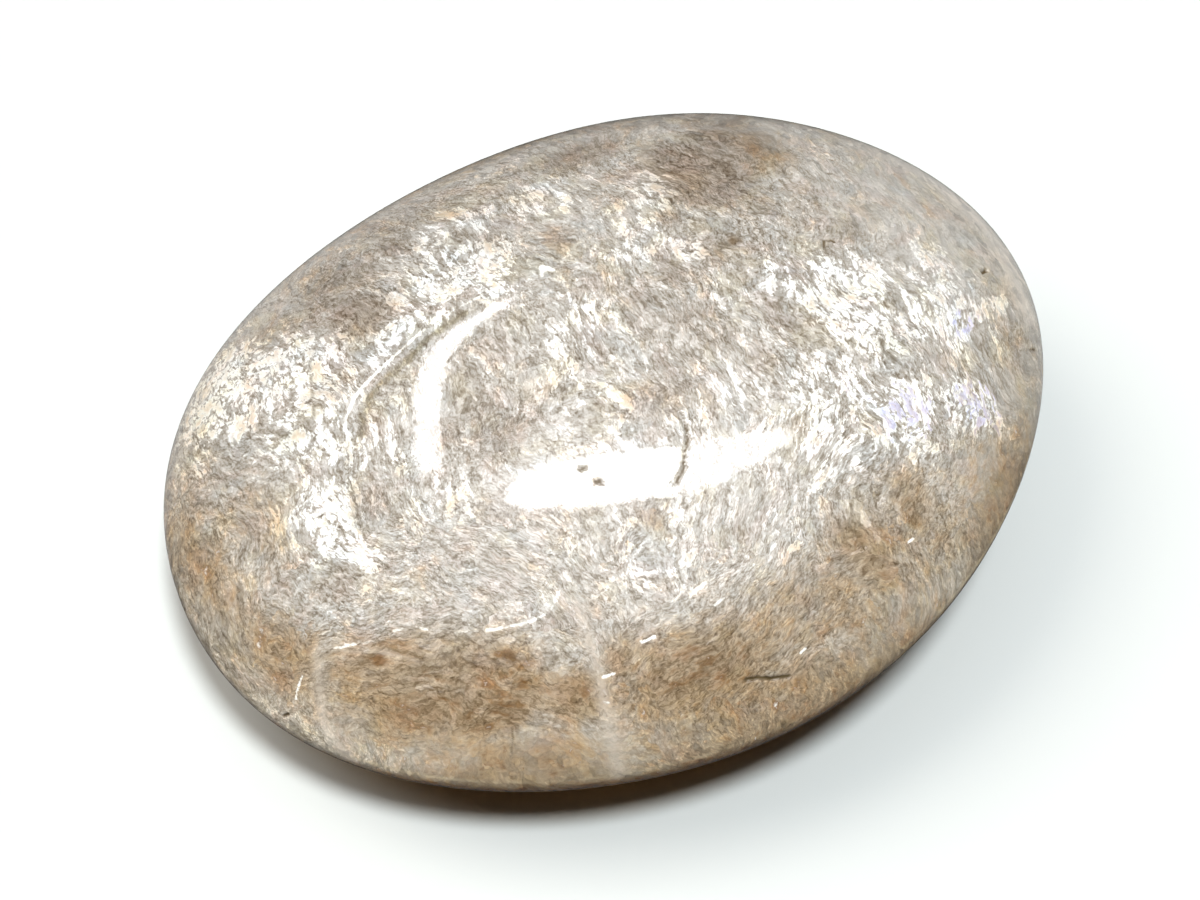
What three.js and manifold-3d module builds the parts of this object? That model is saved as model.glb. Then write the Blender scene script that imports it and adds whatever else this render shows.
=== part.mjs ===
// A moonstone palm stone: one natural piece of feldspar, tumbled and polished all over.
// Millimetres, +Z up. +X runs along the long axis, and +Y across it. The origin is on the surface
// that the stone rests on, under the middle of its outline.
import * as THREE from "three";
import { mergeVertices } from "three/addons/utils/BufferGeometryUtils.js";
import Module from "manifold-3d";

// The outline, seen from above, is its widest section and is called the girdle.
const LENGTH = 65;
const WIDTH = 53;
// A pebble's outline isn't a true ellipse. Each wave changes the radius by depth, as a share of it,
// and turns is how many times it swells on the way round from +X.
const OUTLINE_WAVES = [
  { turns: 3, depth: 0.0094, phase: -1.28 },
  { turns: 5, depth: 0.0061, phase: 0.83 },
];

// Two shallow domes meet at the girdle.
const CROWN_HEIGHT = 10.5;
const BELLY_DEPTH = 12;
// 0.5 gives an ellipse's edge, and more draws the domes in towards a lens, with a tighter girdle.
const DOME_POWER = 0.55;

// The girdle climbs towards +X, and the belly under it stays level where the stone rests.
const GIRDLE_SLOPE = THREE.MathUtils.degToRad(4);

// Slow swells left by hand polishing, in height, with the length of one swell across the stone.
const SWELL_HEIGHT = 0.12;
const SWELL_LENGTH = 34;

// The belly is worn flat where it stands, so deep into its lowest point.
const REST_SPOT_DEPTH = 0.28;

// Facets round the outline, and from pole to pole.
const FACETS_ROUND = 80;
const FACETS_UP = 36;

// The radius of the outline at an angle round from +X, as a share of the plain ellipse's.
function outlineShare(angle) {
  return OUTLINE_WAVES.reduce(
    (share, wave) => share + wave.depth * Math.cos(wave.turns * angle + wave.phase),
    1,
  );
}

// The polishing swells at a point of the plan. They die out at the girdle and where the stone rests.
function swell(x, y, reach) {
  const wave = Math.sin((2 * Math.PI * (x + 0.35 * y)) / SWELL_LENGTH + 0.6);
  const cross = Math.cos((2 * Math.PI * (y - 0.25 * x)) / SWELL_LENGTH);
  return SWELL_HEIGHT * wave * cross * 4 * reach ** 2 * (1 - reach ** 2);
}

// Moves a point of the unit sphere to the stone's surface, before the rest spot is cut.
function stonePoint(unit) {
  const reach = Math.min(1, Math.hypot(unit.x, unit.y));
  const share = outlineShare(Math.atan2(unit.y, unit.x));
  const x = (LENGTH / 2) * unit.x * share;
  const y = (WIDTH / 2) * unit.y * share;
  const rise = Math.abs(unit.z) ** (2 * DOME_POWER);
  const girdle = BELLY_DEPTH - REST_SPOT_DEPTH;
  const climb = x * Math.tan(GIRDLE_SLOPE);
  const bump = swell(x, y, reach);
  if (unit.z >= 0) return new THREE.Vector3(x, y, girdle + climb + CROWN_HEIGHT * rise + bump);
  return new THREE.Vector3(x, y, girdle + climb * reach ** 2 - BELLY_DEPTH * rise - bump);
}

// The whole pebble, from a sphere whose poles stand on the Z axis.
function pebbleGeometry() {
  const sphere = new THREE.SphereGeometry(1, FACETS_ROUND, FACETS_UP).rotateX(Math.PI / 2);
  sphere.deleteAttribute("normal");
  sphere.deleteAttribute("uv");
  const geometry = mergeVertices(sphere, 1e-5);
  const position = geometry.getAttribute("position");
  for (let i = 0; i < position.count; i++) {
    const point = stonePoint(new THREE.Vector3().fromBufferAttribute(position, i));
    position.setXYZ(i, point.x, point.y, point.z);
  }
  return geometry;
}

const wasm = await Module();
wasm.setup();

function solidOf(geometry) {
  return new wasm.Manifold(
    new wasm.Mesh({
      numProp: 3,
      vertProperties: new Float32Array(geometry.getAttribute("position").array),
      triVerts: new Uint32Array(geometry.index.array),
    }),
  );
}

function geometryOf(solid) {
  const mesh = solid.getMesh();
  const geometry = new THREE.BufferGeometry();
  geometry.setAttribute("position", new THREE.BufferAttribute(mesh.vertProperties, 3));
  geometry.setIndex(new THREE.BufferAttribute(mesh.triVerts, 1));
  geometry.computeVertexNormals();
  return geometry;
}

// Takes off what lies below the surface that the stone stands on, which leaves the flat rest spot.
function cutRestSpot(pebble) {
  const ground = new THREE.BoxGeometry(2 * LENGTH, 2 * WIDTH, BELLY_DEPTH);
  ground.translate(0, 0, -BELLY_DEPTH / 2);
  ground.deleteAttribute("normal");
  ground.deleteAttribute("uv");
  return geometryOf(solidOf(pebble).subtract(solidOf(mergeVertices(ground))));
}

// Brings the middle of the outline over the origin, because the outline's waves pull it off centre.
function centreOverOrigin(geometry) {
  geometry.computeBoundingBox();
  const middle = geometry.boundingBox.getCenter(new THREE.Vector3());
  return geometry.translate(-middle.x, -middle.y, 0);
}

// Polished feldspar: pale greige, glossy.
const polishedMoonstone = new THREE.MeshStandardMaterial({
  color: 0xb9aa9b,
  roughness: 0.18,
  metalness: 0,
});

const moonstone = new THREE.Mesh(
  centreOverOrigin(cutRestSpot(pebbleGeometry())),
  polishedMoonstone,
);
moonstone.name = "moonstone";

const stone = new THREE.Group();
stone.add(moonstone);

export default stone;
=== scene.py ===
"""A moonstone palm stone at rest on a white table: one pebble of feldspar, tumbled and polished."""

import math

import bmesh
import bpy
import numpy as np
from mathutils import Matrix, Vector, noise


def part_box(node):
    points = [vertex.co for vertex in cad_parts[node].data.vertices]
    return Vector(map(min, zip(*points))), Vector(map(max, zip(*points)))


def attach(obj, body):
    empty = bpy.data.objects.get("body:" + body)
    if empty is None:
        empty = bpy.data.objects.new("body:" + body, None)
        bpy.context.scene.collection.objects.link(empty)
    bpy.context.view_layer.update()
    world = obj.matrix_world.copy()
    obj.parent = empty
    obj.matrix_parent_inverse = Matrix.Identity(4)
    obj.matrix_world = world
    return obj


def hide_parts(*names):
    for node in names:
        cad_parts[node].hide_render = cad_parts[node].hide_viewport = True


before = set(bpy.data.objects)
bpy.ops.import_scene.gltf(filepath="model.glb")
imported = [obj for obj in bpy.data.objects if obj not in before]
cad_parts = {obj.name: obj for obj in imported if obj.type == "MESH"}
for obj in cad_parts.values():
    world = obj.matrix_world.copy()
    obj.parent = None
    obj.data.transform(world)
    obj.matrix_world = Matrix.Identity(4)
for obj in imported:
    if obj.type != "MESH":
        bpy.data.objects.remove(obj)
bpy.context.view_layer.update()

# ----------------------------------------------------------------------------------------------
# The stone. A single piece of feldspar that was ground to an oval pebble, tumbled and polished.
# Two shallow domes meet at a rounded edge, the girdle, and the lower one is worn flat where it
# stands. It is shaped from a sphere of fine triangles.
# ----------------------------------------------------------------------------------------------

MM = 0.001
stone_low, stone_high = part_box("moonstone")
LENGTH = stone_high.x - stone_low.x
WIDTH = stone_high.y - stone_low.y

# The outline is an oval with slow waves: turns round from +X, depth as a share of the radius, phase.
OUTLINE_WAVES = [(3, 0.0094, -1.28), (5, 0.0061, 0.83)]
CROWN_HEIGHT = 10.5 * MM
BELLY_DEPTH = 12 * MM
REST_SPOT_DEPTH = 0.28 * MM
GIRDLE_HEIGHT = BELLY_DEPTH - REST_SPOT_DEPTH
# 0.5 would give an ellipse's edge. More draws the domes in towards a lens.
DOME_POWER = 0.55
GIRDLE_SLOPE = math.radians(4)

# The polisher's slow swells, which are part of the stone's size, and finer ones that only wrinkle
# the reflections: height and length of one swell.
SWELL_HEIGHT = 0.12 * MM
SWELL_LENGTH = 34 * MM
# How far the two sets of swells run aslant of the plan's axes, and where the first set starts.
SWELL_SLANT = 0.35
CROSS_SWELL_SLANT = 0.25
SWELL_START = 0.6
RIPPLE_HEIGHT = 0.006 * MM
RIPPLE_LENGTH = 5.5 * MM


def outline_share(angle):
    """The outline's radius at an angle round from +X, as a share of the plain oval's."""
    return 1 + sum(depth * math.cos(turns * angle + phase) for turns, depth, phase in OUTLINE_WAVES)


def swell(x, y, reach):
    """The polisher's swell at a point of the plan. It dies out at the girdle and at the poles."""
    wave = math.sin(math.tau * (x + SWELL_SLANT * y) / SWELL_LENGTH + SWELL_START)
    cross = math.cos(math.tau * (y - CROSS_SWELL_SLANT * x) / SWELL_LENGTH)
    fade = 4 * reach**2 * (1 - reach**2)
    return SWELL_HEIGHT * wave * cross * fade


def stone_point(unit):
    """Moves a point of the unit sphere to the stone's surface."""
    reach = min(1, math.hypot(unit.x, unit.y))
    share = outline_share(math.atan2(unit.y, unit.x))
    x = LENGTH / 2 * unit.x * share
    y = WIDTH / 2 * unit.y * share
    rise = abs(unit.z) ** (2 * DOME_POWER)
    climb = x * math.tan(GIRDLE_SLOPE)
    bump = swell(x, y, reach)
    if unit.z >= 0:
        return Vector((x, y, GIRDLE_HEIGHT + climb + CROWN_HEIGHT * rise + bump))
    return Vector((x, y, GIRDLE_HEIGHT + climb * reach**2 - BELLY_DEPTH * rise - bump))


# The waves pull the outline off centre, so the stone is moved until its middle is over the origin.
RIM_STEPS = 720
turns_round = np.linspace(0, math.tau, RIM_STEPS)
rim_points = [stone_point(Vector((math.cos(turn), math.sin(turn), 0))) for turn in turns_round]
middle_x = (max(p.x for p in rim_points) + min(p.x for p in rim_points)) / 2
middle_y = (max(p.y for p in rim_points) + min(p.y for p in rim_points)) / 2
centring = Vector((-middle_x, -middle_y, 0))


def unit_over(x, y, side=1):
    """The point of the unit sphere that becomes the crown's (side 1) or belly's (-1) at plan x, y."""
    across = (x - centring.x) / (LENGTH / 2)
    away = (y - centring.y) / (WIDTH / 2)
    share = outline_share(math.atan2(away, across))
    flat = Vector((across / share, away / share, 0))
    rest = max(0, 1 - flat.length_squared)
    return Vector((flat.x, flat.y, side * math.sqrt(rest)))


def surface_point(x, y, side=1):
    """The stone's surface at plan x, y in millimetres."""
    return stone_point(unit_over(x * MM, y * MM, side)) + centring


# Open flaws at the surface: plan path in millimetres, width and depth. The material colours them
# dark brown.
FLAWS = [
    # A stepped crack across the crown, and the short split that leads into it.
    (
        [(1.35, -7.9), (0.95, -8.8), (0.35, -9.5), (-0.35, -10.6), (-0.9, -11.0), (-1.5, -11.3)],
        0.24,
        0.12,
    ),
    ([(1.5, -6.9), (1.3, -7.9)], 0.2, 0.1),
    # Pits.
    ([(-6.4, -7.2), (-6.2, -7.35)], 0.26, 0.14),
    ([(-6.05, -8.55), (-5.75, -8.8)], 0.3, 0.16),
    ([(27.6, -4.1), (28.15, -3.9)], 0.38, 0.22),
    ([(-30.25, -9.1), (-29.95, -9.35)], 0.3, 0.16),
    ([(17.55, 1.25), (17.9, 1.75), (18.4, 1.6), (18.5, 1.15)], 0.24, 0.12),
    ([(22.0, 8.1), (22.3, 8.0)], 0.3, 0.16),
    ([(23.1, 9.6), (23.25, 9.4)], 0.24, 0.14),
    ([(28.1, -10.15), (28.6, -10.05)], 0.2, 0.1),
    # A slit low on the near side.
    ([(-3.0, -24.05), (-2.2, -24.25), (-1.4, -24.6), (-0.2, -24.9)], 0.36, 0.2),
]
# Closed cracks inside the stone show as dark hairlines: plan path, width and strength.
DARK_HAIRLINES = [
    ([(-17.7, 11.8), (-18.6, 9.6), (-19.4, 7.6), (-20.7, 5.2)], 0.5, 0.6),
    ([(-21.1, -10.9), (-18.9, -12.9), (-16.4, -14.2), (-14.1, -15.0), (-12.7, -15.1)], 0.36, 0.6),
    ([(15.9, -1.6), (16.2, -2.4), (16.4, -3.3)], 0.4, 0.8),
    ([(17.0, -7.4), (16.7, -8.4), (17.1, -9.2)], 0.7, 0.8),
    ([(18.2, 7.4), (18.4, 8.6)], 0.34, 0.7),
    ([(-15.0, 11.4), (-13.6, 12.2), (-12.4, 14.6)], 0.4, 0.5),
    ([(-9.0, 20.0), (-8.2, 17.6), (-9.2, 16.0)], 0.4, 0.5),
    ([(-18.0, -19.2), (-18.2, -19.7), (-18.6, -20.2)], 0.34, 0.8),
    ([(-24.5, -8.9), (-22.6, -11.2), (-19.9, -13.6), (-16.8, -15.8), (-14.4, -16.8)], 0.5, 0.5),
]
# The edge of some cracks catches the light as a thin bright lip. These lips are painted highlights in the
# colour.
PAINTED_LIP_HIGHLIGHTS = [
    (
        [(-26.0, -8.5), (-23.4, -9.9), (-21.1, -10.4), (-18.9, -12.5), (-16.4, -13.8), (-14.1, -14.6)],
        0.3,
        0.5,
    ),
    ([(-14.1, -14.6), (-12.7, -14.7), (-11.6, -13.9)], 0.3, 0.75),
    ([(-18.4, 4.7), (-17.8, 5.6), (-16.9, 6.5), (-15.9, 7.1), (-14.7, 7.5)], 0.34, 1.0),
    ([(-14.7, 7.5), (-12.7, 8.1), (-10.7, 8.7)], 0.34, 1.0),
    ([(-10.7, 8.7), (-9.0, 9.0), (-7.2, 9.15), (-5.4, 9.2), (-3.7, 9.1)], 0.3, 0.75),
    ([(-28.3, -8.5), (-28.8, -8.8), (-29.2, -9.2)], 0.22, 0.7),
    ([(-8.3, -19.35), (-7.4, -19.4)], 0.3, 1.0),
    ([(-3.0, -19.55), (-2.2, -19.4)], 0.26, 0.9),
    ([(-11.5, -19.85), (-10.8, -20.0)], 0.26, 0.9),
    ([(0.1, -18.6), (0.7, -18.4)], 0.24, 0.8),
    ([(2.2, -18.0), (2.7, -17.8)], 0.24, 0.7),
    ([(1.1, -24.1), (1.6, -24.0)], 0.26, 0.9),
    ([(11.4, -20.8), (11.9, -20.6)], 0.26, 0.8),
    ([(-1.2, 8.3), (-0.8, 9.0), (-0.3, 8.4)], 0.5, 1.0),
]


def surface_path(plan):
    """A plan path laid on the crown, in millimetres."""
    return [np.array(surface_point(x, y)) / MM for x, y in plan]


def distance_to_path(points, path):
    """The shortest distance from each of many points to a path of straight pieces."""
    shortest = np.full(len(points), np.inf)
    for start, end in zip(path, path[1:]):
        along = end - start
        share = np.clip((points - start) @ along / (along @ along), 0, 1)
        gap = np.linalg.norm(points - start - share[:, None] * along, axis=1)
        shortest = np.minimum(shortest, gap)
    return shortest


SPHERE_DETAIL = 7
# The finer triangles reach this far from a flaw or a crack, in millimetres.
FINE_REACH = 0.8
FINE_CUTS = 2

shape = bmesh.new()
bmesh.ops.create_icosphere(shape, subdivisions=SPHERE_DETAIL, radius=1)

# The triangles round each flaw and crack are cut finer, so that it has a clean edge.
points = np.array([stone_point(vert.co) + centring for vert in shape.verts]) / MM
fine = np.zeros(len(points), bool)
for plan, *_ in FLAWS + DARK_HAIRLINES + PAINTED_LIP_HIGHLIGHTS:
    fine |= distance_to_path(points, surface_path(plan)) < FINE_REACH
fine_edges = [edge for edge in shape.edges if all(fine[vert.index] for vert in edge.verts)]
bmesh.ops.subdivide_edges(shape, edges=fine_edges, cuts=FINE_CUTS, use_grid_fill=True)
bmesh.ops.triangulate(shape, faces=[face for face in shape.faces if len(face.verts) > 3])

# How near each point is to the rim, to the girdle's line and to the underside. The heights are
# shares of the unit sphere's.
GIRDLE_LINE = 0.03
GIRDLE_WIDTH = 0.035
UNDERSIDE_START = 0.1
rim_layer = shape.verts.layers.float.new("rim")
girdle_layer = shape.verts.layers.float.new("girdle")
under_layer = shape.verts.layers.float.new("under")
for vert in shape.verts:
    unit = vert.co.normalized()
    vert[rim_layer] = 1 - abs(unit.z)
    vert[girdle_layer] = math.exp(-(((unit.z - GIRDLE_LINE) / GIRDLE_WIDTH) ** 2))
    vert[under_layer] = min(1, max(0, -unit.z / UNDERSIDE_START))
    vert.co = stone_point(unit) + centring
shape.normal_update()

# The ripples of the polish, and the walls of the flaws, which are deepest in the middle.
hollow_layer = shape.verts.layers.float.new("hollow")
points = np.array([vert.co for vert in shape.verts]) / MM
sink = np.zeros(len(points))
hollow = np.zeros(len(points))
# A flaw's width varies by this share over this length in millimetres, and its walls are steep.
RAGGED_SHARE = 0.5
RAGGED_LENGTH = 0.25
WALL_STEEPNESS = 1.6
ragged = np.array([1 + RAGGED_SHARE * noise.noise(Vector(point) / RAGGED_LENGTH) for point in points])
for plan, width, depth in FLAWS:
    closeness = 1 - distance_to_path(points, surface_path(plan)) / (width / 2 * ragged)
    wall = np.clip(WALL_STEEPNESS * closeness, 0, 1)
    sink = np.maximum(sink, depth * MM * wall)
    hollow = np.maximum(hollow, wall)
moves = [
    vert.normal * (noise.noise(vert.co / RIPPLE_LENGTH) * RIPPLE_HEIGHT - depth)
    for vert, depth in zip(shape.verts, sink)
]
for vert, move, share in zip(shape.verts, moves, hollow):
    vert.co += move
    vert[hollow_layer] = share

# The worn flat spot that the stone stands on.
everything = shape.verts[:] + shape.edges[:] + shape.faces[:]
cut = bmesh.ops.bisect_plane(
    shape, geom=everything, plane_co=(0, 0, 0), plane_no=(0, 0, 1), clear_inner=True
)
rim = [edge for edge in cut["geom_cut"] if isinstance(edge, bmesh.types.BMEdge)]
bmesh.ops.holes_fill(shape, edges=rim)
bmesh.ops.triangulate(shape, faces=[face for face in shape.faces if len(face.verts) > 3])
bmesh.ops.recalc_face_normals(shape, faces=shape.faces)
for face in shape.faces:
    face.smooth = True

stone_mesh = bpy.data.meshes.new("polished_pebble")
shape.to_mesh(stone_mesh)
shape.free()
stone = bpy.data.objects.new("polished_pebble", stone_mesh)
bpy.context.scene.collection.objects.link(stone)

# ----------------------------------------------------------------------------------------------
# What lies in the stone: rust-brown stains, taupe clouds, pale fog and healed cracks, with painted
# light among them: silvery cleavage flashes and blue sheen painted as sheen, bright lips painted as
# highlights and a painted glow along the edge. Some taupe clouds are partly a painted darker reflection
# and some fog partly painted light. Each is painted on the surface as a mask that the material reads,
# 0 for none and 1 for full. A strength over 1 makes the full middle of a patch wider.
# ----------------------------------------------------------------------------------------------

surface = np.zeros(len(stone_mesh.vertices) * 3, np.float32)
stone_mesh.vertices.foreach_get("co", surface)
surface = surface.reshape(-1, 3) / MM
# A patch reaches this far up and down the stone's side, in millimetres, and fades out like this.
PATCH_DEPTH = 6.0
PATCH_FADE = 0.7
PATCH_FADE_POWER = 1.5


def save_mask(name, mask):
    """Stores one value for each point of the stone under a name."""
    attribute = stone_mesh.attributes.new(name, "FLOAT", "POINT")
    attribute.data.foreach_set("value", mask.astype(np.float32))


def patches(places):
    """Soft oval patches: plan x, y, length, width, turn from +X, strength, and -1 on the belly."""
    mask = np.zeros(len(surface))
    for x, y, length, width, turn, strength, *side in places:
        offset = surface - np.array(surface_point(x, y, *side)) / MM
        angle = math.radians(turn)
        along = offset[:, 0] * math.cos(angle) + offset[:, 1] * math.sin(angle)
        across = offset[:, 1] * math.cos(angle) - offset[:, 0] * math.sin(angle)
        rise = offset[:, 2]
        reach = (2 * along / length) ** 2 + (2 * across / width) ** 2 + (rise / PATCH_DEPTH) ** 2
        mask = np.maximum(mask, strength * np.exp(-PATCH_FADE * reach**PATCH_FADE_POWER))
    return mask


def lines(paths):
    """Soft lines: plan path, width and strength. Each follows the surface of the crown."""
    mask = np.zeros(len(surface))
    for plan, width, strength in paths:
        gap = distance_to_path(surface, surface_path(plan))
        mask = np.maximum(mask, strength * np.exp(-((2 * gap / width) ** 2)))
    return mask


AMBER_STAINS = [
    (-21.0, -14.8, 15.0, 7.0, -30, 0.8),
    (-25.5, -10.2, 4.0, 2.6, -50, 0.75),
    (-18.4, -17.6, 8.0, 3.4, -20, 0.95),
    (-22.2, -13.0, 4.0, 2.4, -40, 0.95),
    (-16.6, -16.2, 3.4, 2.2, -30, 0.9),
    (-23.8, -11.0, 1.8, 1.3, -40, 1.15),
    (-21.6, -12.9, 2.2, 1.3, -40, 1.1),
    (-21.7, -15.5, 1.6, 1.3, 0, 1.1),
    (-17.8, -18.3, 3.4, 1.6, -35, 1.15),
    (-16.2, -17.6, 2.4, 1.6, -30, 1.15),
    (-16.7, -15.7, 2.6, 1.2, -30, 1.2),
    (-20.8, -19.9, 3.4, 1.0, -38, 0.9),
    (-28.6, -6.5, 4.0, 8.0, 20, 0.6),
    (-27.6, -9.6, 3.0, 3.0, 0, 0.5),
    (-30.4, 2.0, 3.4, 17.0, 5, 0.5),
    (-29.0, 8.0, 2.6, 9.0, 15, 0.3),
    (-26.0, 2.5, 4.0, 11.0, 0, 0.35),
    (-5.5, -22.4, 12.0, 5.4, -8, 0.85),
    (-8.0, -22.5, 3.4, 2.2, -20, 0.9),
    (-3.4, -23.8, 3.6, 1.6, -15, 0.9),
    (10.0, -20.2, 13.0, 7.0, 15, 0.45),
    (8.2, -20.6, 4.0, 6.0, 20, 0.8),
    (13.0, -18.4, 3.4, 5.0, 10, 0.6),
    (12.5, -19.7, 1.0, 1.0, 0, 1.2),
    (0.0, -22.0, 34.0, 6.0, 0, 0.5),
    (-13.4, -20.0, 5.0, 3.0, -20, 0.9),
    (-9.8, -19.4, 3.4, 3.0, -10, 0.7),
    (27.6, -10.5, 3.0, 6.0, 25, 0.2),
    (19.2, 12.0, 3.6, 6.0, -10, 0.45),
    (-4.0, -12.8, 1.0, 1.6, 10, 0.9),
    (12.0, 4.3, 0.9, 0.9, 0, 0.9),
    (1.0, -25.4, 6.0, 2.2, 0, 0.7),
    (-9.5, -19.5, 8.0, 7.0, 0, 0.35),
    (-5.0, -25.0, 14.0, 3.0, 0, 0.6),
    (-19.0, 17.0, 3.0, 4.0, 20, 0.35),
    (-12.0, 22.0, 14.0, 3.6, 22, 0.2),
    (3.0, 24.6, 18.0, 3.6, 0, 0.45),
    (17.0, 20.6, 14.0, 4.0, -34, 0.15),
    # On the belly.
    (-17.0, -20.5, 16.0, 7.0, -30, 1.1, -1),
    (2.0, -24.6, 26.0, 7.0, 4, 1.4, -1),
    (20.0, -18.5, 14.0, 7.0, 40, 1.1, -1),
    (17.0, 6.0, 12.0, 8.0, 30, 0.7, -1),
    (-9.0, 14.0, 16.0, 7.0, -15, 0.6, -1),
]
# Taupe clouds in the stone. Those inside the mirrored hook, round x -10, y 0, are partly a painted darker
# reflection.
TAUPE_CLOUDS_AND_DARK_REFLECTION = [
    (-13.5, 17.2, 8.0, 5.4, 15, 0.65),
    (-13.2, 13.2, 4.4, 4.2, 20, 1.15),
    (-6.5, 21.0, 9.0, 5.0, 0, 0.45),
    (-8.0, 18.4, 3.0, 3.0, 0, 0.6),
    (-12.0, 22.6, 8.0, 3.0, 20, 0.2),
    (13.4, 12.0, 6.6, 8.6, 25, 1.3),
    (17.5, 15.0, 6.5, 9.0, -20, 0.95),
    (7.5, 18.8, 6.0, 4.0, 0, 0.8),
    (12.0, 21.5, 14.0, 5.0, -16, 0.45),
    (5.2, -2.6, 5.0, 3.6, -10, 0.5),
    (0.6, -5.4, 5.0, 3.6, -10, 0.8),
    (12.0, -3.6, 4.0, 3.0, 0, 0.35),
    (-10.0, -2.2, 5.0, 4.0, 0, 0.7),
    (-10.0, 0.5, 6.0, 5.0, 0, 0.5),
    (5.0, 0.0, 6.0, 3.4, 0, 0.55),
    (10.6, 4.6, 4.4, 4.4, 0, 0.6),
    (-13.0, -9.5, 18.0, 9.0, -12, 0.35),
    (-10.0, 4.0, 4.0, 3.4, 0, 0.4),
    (3.4, 2.4, 3.0, 3.0, 0, 0.65),
    (-19.6, -1.4, 3.0, 4.0, -20, 0.7),
    (15.7, 7.0, 2.6, 2.6, 0, 0.6),
    (20.3, 2.2, 2.6, 2.6, 0, 0.6),
    (1.4, 11.1, 2.6, 2.6, 0, 0.5),
    (18.5, 5.5, 5.0, 5.0, 0, 0.3),
    (9.3, 8.4, 2.0, 2.6, 0, 0.5),
    (-2.8, 14.0, 2.4, 2.4, 0, 0.6),
    (-12.2, -6.7, 3.6, 3.0, 0, 0.7),
    (-12.9, 0.4, 3.0, 3.0, 0, 0.7),
    (-3.7, -11.6, 3.4, 2.4, 0, 0.6),
    (-18.9, 8.0, 2.4, 2.4, 0, 0.5),
    (-23.6, -4.7, 3.0, 3.0, 0, 0.5),
    (7.2, 3.6, 2.6, 3.6, 0, 0.6),
    (-11.9, -15.7, 4.0, 2.0, -20, 0.6),
    # On the belly.
    (-4.0, 2.0, 24.0, 16.0, 20, 0.7, -1),
    (20.0, -10.0, 12.0, 8.0, 35, 0.7, -1),
    (0.0, 20.0, 20.0, 8.0, 0, 0.8, -1),
]
# Pale fog in the stone. On the right side it is partly painted light, lightening the side that faces away
# from the lamps.
PALE_FOG_AND_SIDE_LIGHT = [
    (26.5, 2.5, 13.0, 21.0, 0, 1.0),
    (26.0, -14.5, 7.0, 7.0, 35, 0.9),
    (22.0, 16.0, 11.0, 10.0, -30, 0.85),
    (12.0, 20.0, 14.0, 6.0, -10, 0.5),
    (2.0, 11.0, 10.0, 8.0, 0, 0.4),
    (19.3, -18.1, 6.0, 3.8, 35, 1.0),
    (21.6, 17.3, 7.0, 4.0, -40, 0.6),
    (14.9, 21.4, 7.0, 3.0, -30, 0.6),
    (-10.0, 23.2, 8.0, 3.0, 20, 0.3),
    (-18.2, 18.0, 5.0, 3.4, 35, 0.5),
    (-20.5, -19.4, 14.0, 2.4, -34, 0.9),
    (-16.8, -21.5, 8.0, 2.6, -35, 0.9),
    (-13.5, -23.2, 8.0, 3.0, -18, 0.9),
    (-27.9, -14.0, 3.0, 6.0, -30, 0.6),
    (9.0, -24.6, 12.0, 3.0, 12, 0.5),
    # On the belly.
    (12.0, 16.0, 14.0, 6.0, -30, 0.7, -1),
    (-22.0, 10.0, 10.0, 8.0, 20, 0.6, -1),
]
# Where the layers flash: this sheen is painted into the colour.
PAINTED_SHEEN_FLASHES = [
    (-22.8, 14.6, 9.0, 9.0, 20, 1.25),
    (-20.0, 7.5, 7.4, 9.5, 10, 0.8),
    (-17.8, 11.0, 5.0, 5.0, 0, 0.9),
    (-19.0, 15.0, 4.4, 7.0, 25, 0.8),
    (-22.0, -1.0, 5.4, 8.0, 0, 0.9),
    (-16.5, 2.0, 6.0, 5.0, 0, 0.5),
    (-7.5, 11.8, 7.0, 5.0, 0, 0.75),
    (-3.6, 11.5, 3.4, 8.0, -10, 1.0),
    (-12.0, 9.8, 6.0, 2.5, 25, 0.85),
    (6.2, 8.4, 3.6, 7.0, -28, 0.6),
    (8.6, 5.2, 3.2, 3.4, 0, 0.9),
    (10.2, 12.2, 3.0, 5.4, -20, 1.05),
    (2.5, 15.0, 6.0, 6.0, 0, 0.5),
    (-5.0, 17.0, 9.0, 5.0, 0, 0.45),
    (17.6, -2.0, 6.5, 4.4, -20, 1.1),
    (16.4, -6.0, 4.0, 6.5, 5, 1.05),
    (14.0, -3.6, 5.0, 5.0, 0, 0.7),
    (5.5, -7.0, 5.0, 3.0, 10, 0.5),
    (23.0, -6.2, 6.5, 7.0, 0, 1.0),
    (24.6, -2.4, 3.0, 4.5, 0, 1.05),
    (27.6, -7.0, 2.6, 2.2, -20, 0.8),
    (10.5, -11.0, 11.0, 6.5, 35, 0.62),
    (15.5, -12.8, 5.4, 5.0, 30, 1.1),
    (21.0, -13.8, 4.2, 5.0, 40, 0.85),
    (-8.0, -12.6, 14.0, 4.6, -5, 0.35),
    (-12.5, -14.2, 5.0, 2.0, -10, 0.2),
    (-6.0, -15.8, 6.0, 2.4, 0, 0.5),
    (-15.5, -4.5, 6.0, 5.0, 0, 0.4),
    (-2.0, -7.5, 20.0, 4.6, 10, 0.4),
    (0.5, 1.6, 4.0, 3.0, 0, 0.45),
    (12.0, 0.5, 8.0, 3.5, 0, 0.5),
    (-28.5, 9.0, 2.6, 7.0, 10, 0.3),
    (2.0, -18.8, 5.5, 1.4, 12, 0.25),
    (13.3, -1.2, 3.0, 2.4, 0, 0.8),
    (20.6, -7.2, 3.2, 3.0, 0, 1.0),
    (-3.8, -3.6, 4.0, 3.0, 0, 0.65),
    (-1.6, 3.0, 4.4, 7.0, -20, 0.6),
    (-15.1, 12.3, 2.6, 2.4, 0, 0.7),
    (-5.5, 14.1, 3.2, 3.0, 0, 0.85),
    (-8.8, 9.1, 3.6, 2.0, 0, 0.85),
    (3.5, 8.3, 2.4, 2.4, 0, 0.5),
    (-24.6, 1.9, 2.6, 4.0, 0, 0.5),
    (-10.2, -3.6, 2.6, 2.4, 0, 0.5),
    # On the belly.
    (-14.0, -4.0, 10.0, 8.0, 20, 0.7, -1),
    (8.0, 6.0, 12.0, 7.0, -20, 0.7, -1),
    (6.0, -12.0, 9.0, 6.0, 10, 0.6, -1),
]
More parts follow.
